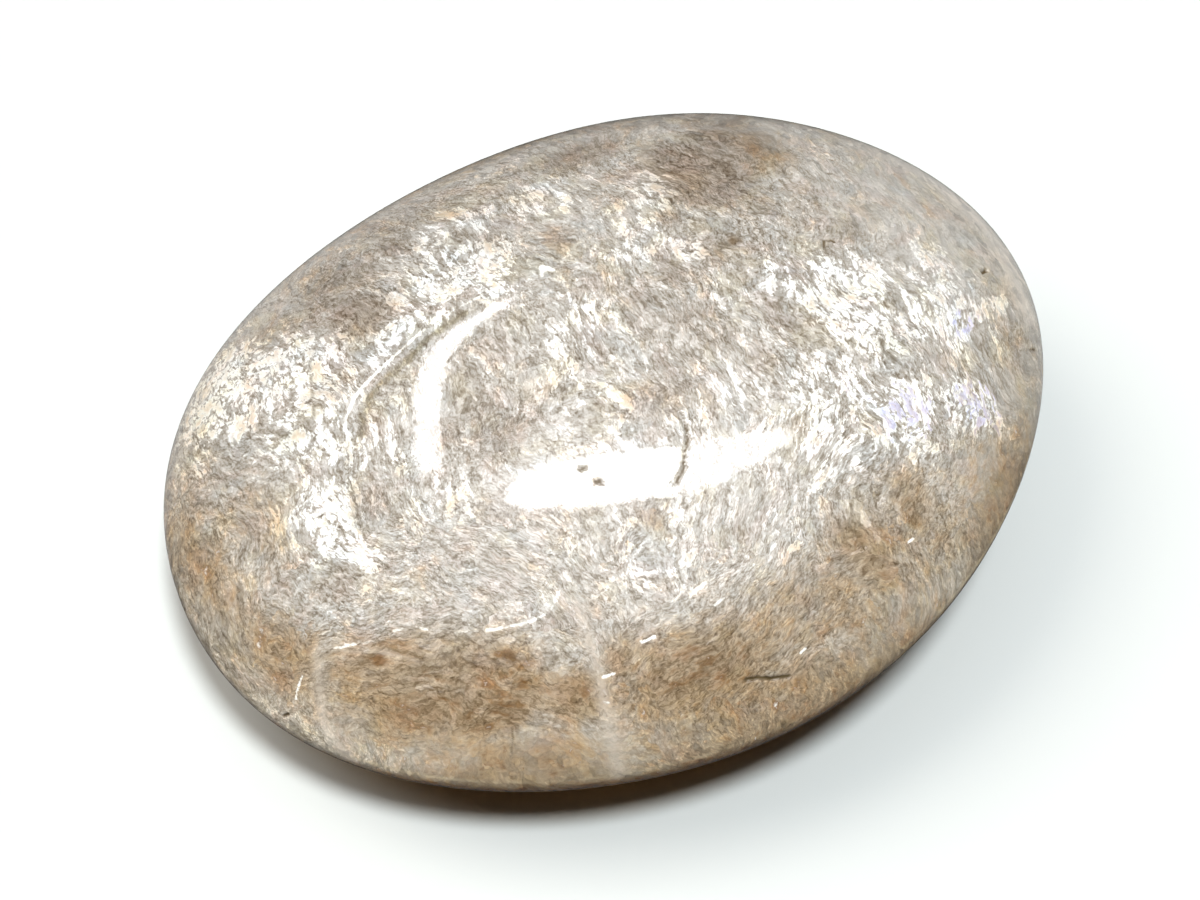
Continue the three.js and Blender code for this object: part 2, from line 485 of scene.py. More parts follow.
PAINTED_BLUE_SHEEN = [
    (16.0, -12.8, 5.0, 5.0, 30, 1.0),
    (20.9, -14.0, 3.4, 4.8, 0, 1.0),
    (23.4, -8.3, 2.8, 2.6, 0, 0.9),
    (23.0, -13.0, 4.0, 4.0, 0, 0.8),
    (13.6, -9.6, 5.0, 2.6, 10, 0.6),
    (-29.0, 10.5, 2.0, 4.0, 0, 0.6),
    (-18.0, 1.0, 4.0, 4.0, 0, 0.3),
]
# Twins: parts in which the layers run another way. Each gives their turn in degrees and its patches.
TWINS = {
    "leaning_twin": (22, [(-19.0, -9.0, 25.0, 9.0, -28, 1.0)]),
    "left_twin": (48, [(-20.0, -15.5, 27.0, 10.0, -38, 1.0)]),
    "middle_twin": (-42, [(4.0, -13.6, 20.0, 8.0, 5, 1.0), (16.0, -17.5, 12.0, 7.0, 35, 0.9)]),
    "near_twin": (-82, [(-1.5, -21.5, 20.0, 9.0, 0, 1.0)]),
    "belly_twin": (-52, [(-6.0, -4.0, 30.0, 20.0, 30, 1.0, -1)]),
}
# Olive-brown stains of the underside, where the stone's skin was cut least.
OLIVE_STAINS = [
    (-20.0, -15.5, 22.0, 14.0, -38, 1.0, -1),
    (-2.0, -21.5, 34.0, 15.0, 0, 1.1, -1),
    (18.0, -18.0, 24.0, 13.0, 30, 1.0, -1),
    (27.0, 9.0, 9.0, 12.0, 15, 0.6, -1),
    (-14.0, 21.0, 16.0, 6.0, 20, 0.6, -1),
    (4.0, 6.0, 16.0, 9.0, 20, 0.5, -1),
]
# Healed cracks, filled with clear milky feldspar, and grey seams.
MILKY_VEINS = [
    ([(-26.8, -8.1), (-27.7, -9.9), (-28.3, -11.9), (-27.6, -14.0)], 1.3, 0.75),
    ([(-10.7, -15.2), (-11.3, -17.6), (-12.0, -20.4), (-12.5, -22.9), (-12.7, -24.3)], 1.5, 0.75),
    ([(-26.3, -8.1), (-25.1, -9.4), (-23.4, -10.7), (-21.7, -12.5), (-20.5, -13.7)], 0.45, 0.5),
    ([(-19.6, -14.2), (-18.4, -14.9), (-17.2, -15.5)], 0.4, 0.35),
    ([(-2.6, -14.0), (-3.0, -17.0), (-2.4, -20.0)], 0.9, 0.3),
    ([(27.6, 11.0), (30.2, 5.0), (30.9, -1.0), (29.6, -7.0)], 4.0, 0.95),
    ([(14.5, 21.1), (12.7, 18.2), (10.9, 15.2), (8.8, 12.3), (7.0, 10.2)], 1.3, 0.55),
    ([(21.7, 12.9), (19.7, 9.3), (17.8, 6.4), (15.3, 2.9)], 1.6, 0.45),
    ([(-16.4, 22.0), (-15.6, 17.0), (-17.2, 12.5)], 1.2, 0.45),
]
GREY_SEAMS = [
    ([(-17.6, 3.6), (-16.7, 5.2), (-15.6, 6.1), (-14.0, 6.7)], 0.9, 0.9),
    ([(-14.0, 6.7), (-12.2, 7.2), (-10.3, 7.9), (-7.2, 8.4)], 0.9, 0.9),
    ([(-18.9, 3.4), (-19.9, 1.0), (-20.3, -1.6)], 0.8, 0.5),
]
# A painted glow: the colour is lightened along the thin near edge, from the right round to the left,
# where the lamps don't reach it. It stands in for light that comes through the stone.
PAINTED_EDGE_GLOW = [
    (
        [(31.8, -3.0), (29.6, -10.2), (24.4, -17.2), (15.6, -23.0), (4.0, -26.1), (-8.0, -25.5)],
        3.4,
        1.0,
    ),
    ([(-8.0, -25.5), (-17.4, -22.1), (-26.3, -15.0), (-31.0, -7.6)], 2.6, 1.0),
]

save_mask("amber", patches(AMBER_STAINS))
save_mask("taupe", patches(TAUPE_CLOUDS_AND_DARK_REFLECTION))
save_mask("fog", patches(PALE_FOG_AND_SIDE_LIGHT))
save_mask("foil_sheen", patches(PAINTED_SHEEN_FLASHES))
save_mask("blue", patches(PAINTED_BLUE_SHEEN))
for name, (_, places) in TWINS.items():
    save_mask(name, patches(places))
# The olive stains show on the underside. Where they reach the girdle, a pale line along it is painted as a
# highlight.
olive = patches(OLIVE_STAINS)
for name in ("under", "girdle"):
    share = np.zeros(len(surface), np.float32)
    stone_mesh.attributes[name].data.foreach_get("value", share)
    save_mask(name + "_by_olive", share * olive)
save_mask("vein", lines(MILKY_VEINS))
save_mask("seam", lines(GREY_SEAMS))
save_mask("hairline", lines(DARK_HAIRLINES))
save_mask("lip_highlight", lines(PAINTED_LIP_HIGHLIGHTS))
save_mask("edge", lines(PAINTED_EDGE_GLOW))

# ----------------------------------------------------------------------------------------------
# Polished moonstone: feldspar in thin layers, cut across, under a wax-smooth polish. The eye sees
# a milky body full of fine strokes, silvery plates where the layers catch the light, painted into the
# colour as a sheen, rust stains along old cracks, and the lamps mirrored in the polish.
# ----------------------------------------------------------------------------------------------

# The layers from the dull ones to those that flash, and how bright each looks from 0 to 1.
LAYER_COLOURS = [
    (0.00, "645748"),
    (0.25, "8C8275"),
    (0.50, "ADA7A0"),
    (0.75, "C9C5C1"),
    (1.00, "FCFCFB"),
]
RUST = "E8D6BD"
DEEP_RUST = "C2AB8C"
TAUPE = "E2DAD3"
BELLY_OLIVE = "CFA562"
GOLDEN = "FFFCF2"
ROSY = "FFF9F8"
COOL = "F7FBFF"
# Painted shade: the colour darkens to tan towards the rim all round.
PAINTED_RIM_SHADE = "F8F0E2"
# Painted highlight: a pale line along the girdle.
PAINTED_GIRDLE_HIGHLIGHT = "D6C4A4"
# Painted blue sheen.
MOON_BLUE = "DEDFFF"
MILK = "CDC3B8"
SEAM_GREY = "CDC6B2"
LIP_HIGHLIGHT_WHITE = "FFFDF8"
CRACK_BROWN = "5E4F37"

# Moonstone's refractive index is 1.52 to 1.53. Its layers scatter light, and the polish is smooth.
FELDSPAR_IOR = 1.525
LAYER_ROUGHNESS = 0.35
POLISH_ROUGHNESS = 0.05


def linear(hex_colour):
    """An sRGB hex colour as the linear RGBA that a shader takes."""
    channels = [int(hex_colour[i : i + 2], 16) / 255 for i in (0, 2, 4)]
    return (*[c / 12.92 if c <= 0.04045 else ((c + 0.055) / 1.055) ** 2.4 for c in channels], 1)


def add_node(owner, kind, settings, inputs, output=0):
    """Adds a node and gives one of its outputs. An input takes a value or another node's output."""
    node = owner.node_tree.nodes.new(kind)
    for name, value in settings.items():
        setattr(node, name, value)
    for name, value in inputs.items():
        if isinstance(value, bpy.types.NodeSocket):
            owner.node_tree.links.new(value, node.inputs[name])
        else:
            node.inputs[name].default_value = value
    return node.outputs[output] if node.outputs else node


polish = bpy.data.materials.new("polished_moonstone")
polish.use_nodes = True
polish.node_tree.nodes.clear()

MASKS = (
    "amber",
    "taupe",
    "fog",
    "foil_sheen",
    "blue",
    "vein",
    "seam",
    "hairline",
    "lip_highlight",
    "hollow",
    "edge",
    "rim",
    "girdle_by_olive",
    "under_by_olive",
)
painted = {
    name: add_node(polish, "ShaderNodeAttribute", {"attribute_name": name}, {}, "Fac")
    for name in (*MASKS, *TWINS)
}

# Places in the stone, in millimetres. The layers wander, bend and crinkle, each over a length and
# by a shift in millimetres.
STRAINS = [(15.0, 7.0), (3.0, 1.05), (0.5, 0.34)]
MIDDLE_GREY = (0.5, 0.5, 0.5)
place = add_node(polish, "ShaderNodeTexCoord", {}, {}, "Object")
place = add_node(polish, "ShaderNodeVectorMath", {"operation": "SCALE"}, {0: place, "Scale": 1 / MM})
strained = place
for length, shift in STRAINS:
    strain = add_node(
        polish, "ShaderNodeTexNoise", {}, {"Vector": place, "Scale": 1 / length, "Detail": 2}, "Color"
    )
    strain = add_node(
        polish, "ShaderNodeVectorMath", {"operation": "SUBTRACT"}, {0: strain, 1: MIDDLE_GREY}
    )
    strained = add_node(
        polish,
        "ShaderNodeVectorMath",
        {"operation": "MULTIPLY_ADD"},
        {0: strain, 1: (shift, shift, shift), 2: strained},
    )

# The layers run across the stone, turned by this many degrees from its width, and those of each
# twin by its own turn. A twin's join with the rest wanders in and out.
LAYER_TURN = -5
JOIN_SIZE = 2.0
JOIN_WANDER = 1.6
JOIN_LEVEL = 1.3
layered = add_node(
    polish,
    "ShaderNodeMapping",
    {"vector_type": "TEXTURE"},
    {"Vector": strained, "Rotation": (0, 0, math.radians(LAYER_TURN))},
)
wander = add_node(
    polish, "ShaderNodeTexNoise", {}, {"Vector": place, "Scale": 1 / JOIN_SIZE, "Detail": 4}
)
for name, (turn, _) in TWINS.items():
    twinned = add_node(
        polish,
        "ShaderNodeMapping",
        {"vector_type": "TEXTURE"},
        {"Vector": strained, "Rotation": (0, 0, math.radians(turn))},
    )
    inside = add_node(
        polish,
        "ShaderNodeMath",
        {"operation": "MULTIPLY_ADD"},
        {0: wander, 1: JOIN_WANDER, 2: painted[name]},
    )
    inside = add_node(polish, "ShaderNodeMath", {"operation": "GREATER_THAN"}, {0: inside, 1: JOIN_LEVEL})
    layered = add_node(
        polish, "ShaderNodeMix", {"data_type": "VECTOR"}, {0: inside, 4: layered, 5: twinned}, 1
    )

# Patterns by the size of one feature in millimetres, across the layers, along them and in depth,
# and by their detail. Real layers are under 0.05 mm thick, too fine to show, so the strokes are
# drawn wider.
PATTERNS = {
    "strokes": ((0.12, 0.28, 0.22), 4),
    "brush": ((0.34, 0.9, 0.7), 3),
    "flakes": ((0.8, 1.6, 1.3), 6),
    "streaks": ((0.5, 5.0, 2.5), 4),
    "mottle": ((1.9, 3.0, 2.4), 4),
    "cloud": ((7.0, 8.0, 7.0), 3),
}
PATTERN_ROUGHNESS = 0.6
grain = {}
for name, (size, detail) in PATTERNS.items():
    stretched = add_node(
        polish, "ShaderNodeMapping", {"vector_type": "TEXTURE"}, {"Vector": layered, "Scale": size}
    )
    grain[name] = add_node(
        polish,
        "ShaderNodeTexNoise",
        {},
        {"Vector": stretched, "Scale": 1, "Detail": detail, "Roughness": PATTERN_ROUGHNESS},
    )

# Painted light and shade: where the flakes are higher than the same flakes a little aside, in
# millimetres, the colour is painted lighter as if an edge caught the light, and where they are lower,
# darker as if it lay in shade.
FLAKE_SIZE, FLAKE_DETAIL = PATTERNS["flakes"]
EDGE_SHIFT = (0.07, 0.09, 0.0)
aside = add_node(
    polish,
    "ShaderNodeMapping",
    {"vector_type": "TEXTURE"},
    {"Vector": layered, "Location": EDGE_SHIFT, "Scale": FLAKE_SIZE},
)
painted_relief_shading = add_node(
    polish,
    "ShaderNodeTexNoise",
    {},
    {"Vector": aside, "Scale": 1, "Detail": FLAKE_DETAIL, "Roughness": PATTERN_ROUGHNESS},
)
painted_relief_shading = add_node(polish, "ShaderNodeMath", {"operation": "SUBTRACT"}, {0: grain["flakes"], 1: painted_relief_shading})

# The layers break into plates. Each has a tilt, a chance of flashing and a shade of its own.
PLATE_SIZE = (0.42, 0.8, 0.6)
plates = add_node(
    polish, "ShaderNodeMapping", {"vector_type": "TEXTURE"}, {"Vector": layered, "Scale": PLATE_SIZE}
)
plate_tilt = add_node(polish, "ShaderNodeTexVoronoi", {}, {"Vector": plates, "Scale": 1}, "Color")
grain["plate_chance"] = add_node(polish, "ShaderNodeSeparateColor", {}, {0: plate_tilt}, "Red")
plate_shade = add_node(polish, "ShaderNodeSeparateColor", {}, {0: plate_tilt}, "Green")

# How much of the stone flashes in each place: the level, and the weight of each mask and pattern.
# The patterns swing round their middle, so half of their weights comes off the level.
SMOOTH = {"interpolation_type": "SMOOTHSTEP"}
FLASH_LEVEL = -0.39
FLASH_WEIGHTS = {
    "foil_sheen": 0.74,
    "taupe": -0.3,
    "amber": -0.35,
    "fog": -0.1,
    "mottle": 1.5,
    "flakes": 1.7,
    "streaks": 1.3,
    "brush": 0.5,
    "plate_chance": -0.1,
}
FLASH_START = -0.08
FLASH_FULL = 0.12
flash = FLASH_LEVEL - sum(weight for name, weight in FLASH_WEIGHTS.items() if name in grain) / 2
for name, weight in FLASH_WEIGHTS.items():
    value = grain[name] if name in grain else painted[name]
    flash = add_node(
        polish, "ShaderNodeMath", {"operation": "MULTIPLY_ADD"}, {0: value, 1: weight, 2: flash}
    )
flashing = add_node(
    polish,
    "ShaderNodeMapRange",
    SMOOTH,
    {"Value": flash, "From Min": FLASH_START, "From Max": FLASH_FULL},
)

# A flashing plate is painted lighter than the body, a painted sheen, and each by its own shade.
PLATE_PAINTED_SHEEN = 0.32
PLATE_PAINTED_SHEEN_SPREAD = 0.16
plate_painted_sheen = add_node(
    polish,
    "ShaderNodeMath",
    {"operation": "MULTIPLY_ADD"},
    {0: plate_shade, 1: PLATE_PAINTED_SHEEN_SPREAD, 2: PLATE_PAINTED_SHEEN},
)
plate_painted_sheen = add_node(polish, "ShaderNodeMath", {"operation": "MULTIPLY"}, {0: plate_painted_sheen, 1: flashing})

# Thin ragged gaps part the plates. They are deepest where the plates flash. The patterns' weights
# bring the line between two plates to about 0.9.
GAP_WEIGHTS = {"brush": 0.9, "flakes": 0.9}
GAP_FLOOR = 0.9
GAP_RIM = 1.02
GAP_DEPTH = 0.3
FLASHING_GAP_DEPTH = 0.65
gap = add_node(
    polish,
    "ShaderNodeTexVoronoi",
    {"feature": "DISTANCE_TO_EDGE"},
    {"Vector": plates, "Scale": 1},
)
for name, weight in GAP_WEIGHTS.items():
    gap = add_node(
        polish, "ShaderNodeMath", {"operation": "MULTIPLY_ADD"}, {0: grain[name], 1: weight, 2: gap}
    )
gap = add_node(
    polish,
    "ShaderNodeMapRange",
    SMOOTH,
    {"Value": gap, "From Min": GAP_FLOOR, "From Max": GAP_RIM, "To Min": 1, "To Max": 0},
)
gap_depth = add_node(
    polish,
    "ShaderNodeMath",
    {"operation": "MULTIPLY_ADD"},
    {0: flashing, 1: FLASHING_GAP_DEPTH, 2: GAP_DEPTH},
)
gap = add_node(polish, "ShaderNodeMath", {"operation": "MULTIPLY"}, {0: gap, 1: gap_depth})

# Two patterns hardened to marks: the pattern, and where on it a mark starts and is full. Floes are
# pale parts of the milky body.
HARDENED = {
    "brush_marks": ("brush", 0.41, 0.59),
    "floes": ("flakes", 0.47, 0.56),
}
for name, (pattern, start, full) in HARDENED.items():
    grain[name] = add_node(
        polish, "ShaderNodeMapRange", SMOOTH, {"Value": grain[pattern], "From Min": start, "From Max": full}
    )

# The strokes, which show strongly in some places, are hidden in others and are calm in the stains.
STROKE_START = 0.42
STROKE_FULL = 0.58
HIDDEN_BELOW = 0.38
SHARP_ABOVE = 0.62
HIDDEN_STROKE = 0.16
SHARP_STROKE = 0.42
RUST_FULL = 0.8
RUST_CALM = 0.5
stroke = add_node(
    polish,
    "ShaderNodeMapRange",
    SMOOTH,
    {
        "Value": grain["strokes"],
        "From Min": STROKE_START,
        "From Max": STROKE_FULL,
        "To Min": -0.5,
        "To Max": 0.5,
    },
)
sharpness = add_node(
    polish,
    "ShaderNodeMapRange",
    {},
    {
        "Value": grain["mottle"],
        "From Min": HIDDEN_BELOW,
        "From Max": SHARP_ABOVE,
        "To Min": HIDDEN_STROKE,
        "To Max": SHARP_STROKE,
    },
)
calm = add_node(
    polish,
    "ShaderNodeMapRange",
    {},
    {"Value": painted["amber"], "From Max": RUST_FULL, "To Min": 1, "To Max": RUST_CALM},
)
for share in (sharpness, calm):
    stroke = add_node(polish, "ShaderNodeMath", {"operation": "MULTIPLY"}, {0: stroke, 1: share})

# How bright each layer looks: the level, and the weight of each mask and pattern. Those that swing
# round their middle take half of their weights off the level.
TONE_LEVEL = 0.58
TONE_WEIGHTS = {
    "taupe": -0.12,
    "amber": -0.1,
    "foil_sheen": 0.06,
    # The painted glow along the near edge lightens the tone.
    "edge": 0.2,
    "cloud": 0.17,
    "mottle": 0.3,
    "streaks": 0.3,
    "floes": 0.1,
    "brush_marks": 0.06,
}
RELIEF_SHADING_WEIGHT = 2.3
GAP_WEIGHT = -0.5
tone = TONE_LEVEL - sum(weight for name, weight in TONE_WEIGHTS.items() if name in grain) / 2
for name, weight in TONE_WEIGHTS.items():
    value = grain[name] if name in grain else painted[name]
    tone = add_node(
        polish, "ShaderNodeMath", {"operation": "MULTIPLY_ADD"}, {0: value, 1: weight, 2: tone}
    )
for value, weight in [(stroke, 1), (painted_relief_shading, RELIEF_SHADING_WEIGHT), (plate_painted_sheen, 1), (gap, GAP_WEIGHT)]:
    tone = add_node(
        polish, "ShaderNodeMath", {"operation": "MULTIPLY_ADD"}, {0: value, 1: weight, 2: tone}
    )

# The fog evens the tones out.
FOG_STRENGTH = 0.55
FOG_TONE = 0.66
haze = add_node(polish, "ShaderNodeMath", {"operation": "MULTIPLY"}, {0: painted["fog"], 1: FOG_STRENGTH})
tone = add_node(polish, "ShaderNodeMix", {"data_type": "FLOAT"}, {0: haze, 2: tone, 3: FOG_TONE})
body = add_node(polish, "ShaderNodeValToRGB", {}, {0: tone})
ramp = body.node.color_ramp
for position, _ in LAYER_COLOURS[1:-1]:
    ramp.elements.new(position)
for element, (position, colour) in zip(ramp.elements, LAYER_COLOURS):
    element.position = position
    element.color = linear(colour)

# Masks of faint hues that vary from place to place.
TINT_SIZE = 2.4
tints = add_node(
    polish, "ShaderNodeTexNoise", {}, {"Vector": layered, "Scale": 1 / TINT_SIZE, "Detail": 4}, "Color"
)
for name, channel in [("golden", "Red"), ("rosy", "Green"), ("cool", "Blue")]:
    painted[name] = add_node(polish, "ShaderNodeSeparateColor", {}, {0: tints}, channel)

# The painted blue sheen shows on the flashing plates alone.
painted["blue"] = add_node(
    polish, "ShaderNodeMath", {"operation": "MULTIPLY"}, {0: painted["blue"], 1: flashing}
)

# Hues and stains soak the layers, so each multiplies their colour; the painted shade towards the rim
# and the painted blue sheen multiply it too. Veins, cracks, the painted highlight along the girdle and
# the painted highlights of the lips lie over them. The patterns make the edges ragged: mask, weights of
# the mottle, the flakes and the brush, where the mark starts and is full, how it blends, and its colour.
MARKS = [
    ("golden", 0.0, 0.3, 0.3, 0.48, 0.68, "MULTIPLY", GOLDEN),
    ("rosy", 0.0, 0.3, 0.3, 0.48, 0.68, "MULTIPLY", ROSY),
    ("cool", 0.0, 0.3, 0.3, 0.48, 0.68, "MULTIPLY", COOL),
    ("rim", 0.5, 0.4, 0.2, 0.3, 0.9, "MULTIPLY", PAINTED_RIM_SHADE),
    ("taupe", 1.2, 1.0, 0.6, 0.1, 0.9, "MULTIPLY", TAUPE),
    ("amber", 0.8, 0.8, 0.5, 0.0, 0.75, "MULTIPLY", RUST),
    ("amber", 1.3, 2.8, 1.6, 0.75, 1.5, "MULTIPLY", DEEP_RUST),
    ("blue", 0.0, 2.8, 3.4, 0.75, 1.3, "MULTIPLY", MOON_BLUE),
    ("seam", 0.3, 0.5, 0.8, 0.2, 0.9, "MULTIPLY", SEAM_GREY),
    ("under_by_olive", 0.8, 0.8, 0.4, -0.05, 0.7, "MULTIPLY", BELLY_OLIVE),
    ("girdle_by_olive", 0.5, 0.6, 0.3, 0.1, 0.75, "MIX", PAINTED_GIRDLE_HIGHLIGHT),
    ("vein", 0.9, 0.6, 0.5, 0.1, 1.5, "MIX", MILK),
    ("lip_highlight", 0.4, 1.8, 1.4, 0.35, 0.85, "MIX", LIP_HIGHLIGHT_WHITE),
    ("hairline", 0.2, 1.0, 0.7, 0.3, 1.0, "MIX", CRACK_BROWN),
    ("hollow", 0.0, 0.0, 0.0, 0.0, 1.0, "MIX", CRACK_BROWN),
]
for name, mottling, flaking, brushing, start, full, blend, colour in MARKS:
    mark = -(mottling + flaking + brushing) / 2
    for value, weight in [
        (painted[name], 1),
        (grain["mottle"], mottling),
        (grain["flakes"], flaking),
        (grain["brush"], brushing),
    ]:
        mark = add_node(
            polish, "ShaderNodeMath", {"operation": "MULTIPLY_ADD"}, {0: value, 1: weight, 2: mark}
        )
    mark = add_node(
        polish, "ShaderNodeMapRange", SMOOTH, {"Value": mark, "From Min": start, "From Max": full}
    )
    body = add_node(
        polish,
        "ShaderNodeMix",
        {"data_type": "RGBA", "blend_type": blend},
        {0: mark, 6: body, 7: linear(colour)},
        2,
    )

# The flashing plates are cleavage faces, which mirror a little like foil, each at its own tilt.
# Fine roughness inside the stone breaks the mirroring up.
PLATE_TILT = 0.45
ROUGH_SIZE = (0.14, 0.3, 0.22)
ROUGH_DEPTH = 0.05 * MM
ROUGH_STRENGTH = 0.4
tilt = add_node(polish, "ShaderNodeVectorMath", {"operation": "SUBTRACT"}, {0: plate_tilt, 1: MIDDLE_GREY})
tilt = add_node(polish, "ShaderNodeVectorMath", {"operation": "SCALE"}, {0: tilt, "Scale": PLATE_TILT})
facing = add_node(polish, "ShaderNodeNewGeometry", {}, {}, "Normal")
facing = add_node(polish, "ShaderNodeVectorMath", {"operation": "ADD"}, {0: facing, 1: tilt})
facing = add_node(polish, "ShaderNodeVectorMath", {"operation": "NORMALIZE"}, {0: facing})
rough = add_node(
    polish, "ShaderNodeMapping", {"vector_type": "TEXTURE"}, {"Vector": place, "Scale": ROUGH_SIZE}
)
rough = add_node(polish, "ShaderNodeTexNoise", {}, {"Vector": rough, "Scale": 1, "Detail": 2})
facing = add_node(
    polish,
    "ShaderNodeBump",
    {},
    {"Strength": ROUGH_STRENGTH, "Distance": ROUGH_DEPTH, "Height": rough, "Normal": facing},
)
FOIL_METAL = 0.05
metal = add_node(polish, "ShaderNodeMath", {"operation": "MULTIPLY"}, {0: flashing, 1: FOIL_METAL})

# The polish is the coat. It has waves of a few micrometres, half a millimetre long, which feather
# the mirrored lamps, and it doesn't reach into the flaws.
POLISH_WAVE = 0.55
POLISH_WAVE_DEPTH = 0.003 * MM
waver = add_node(
    polish, "ShaderNodeTexNoise", {}, {"Vector": place, "Scale": 1 / POLISH_WAVE, "Detail": 2}
)
waver = add_node(
    polish, "ShaderNodeBump", {}, {"Strength": 1, "Distance": POLISH_WAVE_DEPTH, "Height": waver}
)
unbroken = add_node(polish, "ShaderNodeMath", {"operation": "SUBTRACT"}, {0: 1, 1: painted["hollow"]})

shader = add_node(
    polish,
    "ShaderNodeBsdfPrincipled",
    {},
    {
        "Base Color": body,
        "Metallic": metal,
        "Roughness": LAYER_ROUGHNESS,
        "IOR": FELDSPAR_IOR,
        "Normal": facing,
        "Coat Weight": unbroken,
        "Coat Roughness": POLISH_ROUGHNESS,
        "Coat IOR": FELDSPAR_IOR,
        "Coat Normal": waver,
    },
)
add_node(polish, "ShaderNodeOutputMaterial", {}, {"Surface": shader})
stone_mesh.materials.append(polish)

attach(stone, "root")
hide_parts("moonstone")

# ----------------------------------------------------------------------------------------------
# The table top: a sheet of matt white board, much larger than the view. Under the stone's overhang
# its colour is painted warm: a painted shade that stands in for light coming through the stone.
# ----------------------------------------------------------------------------------------------

BOARD_SIZE = 6.0
BOARD_WHITE = "D2D5D5"
BOARD_ROUGHNESS = 0.9
PAINTED_WARM_SHADE = "DAC3A6"
# Where the painted warm shade is full and where it ends, as shares of the stone's outline round its middle.
PAINTED_WARM_SHADE_MIDDLE = (-1.2 * MM, 0, 0)
PAINTED_WARM_SHADE_REACH = 0.74
PAINTED_WARM_SHADE_END = 0.89

board_shape = bmesh.new()
bmesh.ops.create_grid(board_shape, x_segments=1, y_segments=1, size=BOARD_SIZE / 2)
board_mesh = bpy.data.meshes.new("white_board")
board_shape.to_mesh(board_mesh)
board_shape.free()
board = bpy.data.objects.new("white_board", board_mesh)
bpy.context.scene.collection.objects.link(board)

matt_board = bpy.data.materials.new("matt_white_board")
matt_board.use_nodes = True
matt_board.node_tree.nodes.clear()
spot = add_node(matt_board, "ShaderNodeTexCoord", {}, {}, "Object")
spot = add_node(
    matt_board, "ShaderNodeVectorMath", {"operation": "SUBTRACT"}, {0: spot, 1: PAINTED_WARM_SHADE_MIDDLE}
)
spot = add_node(
    matt_board,
    "ShaderNodeVectorMath",
    {"operation": "MULTIPLY"},
    {0: spot, 1: (2 / LENGTH, 2 / WIDTH, 0)},
)
spot = add_node(matt_board, "ShaderNodeVectorMath", {"operation": "LENGTH"}, {0: spot}, "Value")
spot = add_node(
    matt_board,
    "ShaderNodeMapRange",
    SMOOTH,
    {"Value": spot, "From Min": PAINTED_WARM_SHADE_REACH, "From Max": PAINTED_WARM_SHADE_END},
)
board_colour = add_node(
    matt_board,
    "ShaderNodeMix",
    {"data_type": "RGBA"},
    {0: spot, 6: linear(PAINTED_WARM_SHADE), 7: linear(BOARD_WHITE)},
    2,
)
board_shader = add_node(
    matt_board,
    "ShaderNodeBsdfPrincipled",
    {},
    {"Base Color": board_colour, "Roughness": BOARD_ROUGHNESS},
)
add_node(matt_board, "ShaderNodeOutputMaterial", {}, {"Surface": board_shader})
board_mesh.materials.append(matt_board)
# The polish would mirror the board as a haze along the whole rim, so it doesn't, and the room's
# glow below the horizon stands in for the board.
board.visible_glossy = False

# ----------------------------------------------------------------------------------------------
# The studio: a white roof, a soft lamp high over the camera and a broader one on the left, and
# strip lamps over the table, which the polish mirrors as a bright hook and a long blade.
# ----------------------------------------------------------------------------------------------

# The roof glows overhead. Heights are those of the direction looked at: 1 is straight up, 0 is the
# horizon and -1 is straight down.
ROOF_BRIGHTNESS = 1.38
ROOF_EDGE = math.sin(math.radians(58))
ROOF_FULL = math.sin(math.radians(78))
# The board's glow in the polish grows from the horizon down, and is weaker where the board is near.
BOARD_GLOW = 0.25
BOARD_FULL = -0.05
NEAR_BOARD_START = -0.2
NEAR_BOARD_FULL = -0.7
NEAR_BOARD_SHARE = 0.25
# White paper stands to the left and right of the stone. The polish mirrors it along those rims.
PAPER_BRIGHTNESS = 0.38
PAPER_FULL = -0.3
SIDEWAYS = (0.88, -0.476, 0.0)
SIDEWAYS_START = 0.08
SIDEWAYS_FULL = 0.38
AWAY = (0.476, 0.88, 0.0)
AWAY_START = 0.38
AWAY_FULL = 0.56
# The camera sees the room in the colour of the far end of the board, which hides where that ends.
FAR_BOARD = "F8FCF9"

tent = bpy.data.worlds.new("white_roof")
tent.use_nodes = True
tent.node_tree.nodes.clear()
looking = add_node(tent, "ShaderNodeTexCoord", {}, {}, "Generated")
height = add_node(tent, "ShaderNodeSeparateXYZ", {}, {0: looking}, "Z")
glow = add_node(
    tent,
    "ShaderNodeMapRange",
    SMOOTH,
    {"Value": height, "From Min": ROOF_EDGE, "From Max": ROOF_FULL, "To Max": ROOF_BRIGHTNESS},
)
far_board = add_node(
    tent,
    "ShaderNodeMapRange",
    {},
    {"Value": height, "From Min": 0, "From Max": BOARD_FULL, "To Max": BOARD_GLOW},
)
near_board = add_node(
    tent,
    "ShaderNodeMapRange",
    {},
    {
        "Value": height,
        "From Min": NEAR_BOARD_START,
        "From Max": NEAR_BOARD_FULL,
        "To Min": 1,
        "To Max": NEAR_BOARD_SHARE,
    },
)
glow = add_node(
    tent, "ShaderNodeMath", {"operation": "MULTIPLY_ADD"}, {0: far_board, 1: near_board, 2: glow}
)

paper = PAPER_BRIGHTNESS
sideways = add_node(
    tent, "ShaderNodeVectorMath", {"operation": "DOT_PRODUCT"}, {0: looking, 1: SIDEWAYS}, "Value"
)
sideways = add_node(tent, "ShaderNodeMath", {"operation": "ABSOLUTE"}, {0: sideways})
away = add_node(tent, "ShaderNodeVectorMath", {"operation": "DOT_PRODUCT"}, {0: looking, 1: AWAY}, "Value")
for value, start, full in [
    (sideways, SIDEWAYS_START, SIDEWAYS_FULL),
    (height, 0, PAPER_FULL),
    (away, AWAY_START, AWAY_FULL),
]:
    share = add_node(
        tent, "ShaderNodeMapRange", SMOOTH, {"Value": value, "From Min": start, "From Max": full}
    )
    paper = add_node(tent, "ShaderNodeMath", {"operation": "MULTIPLY"}, {0: share, 1: paper})
glow = add_node(tent, "ShaderNodeMath", {"operation": "ADD"}, {0: glow, 1: paper})

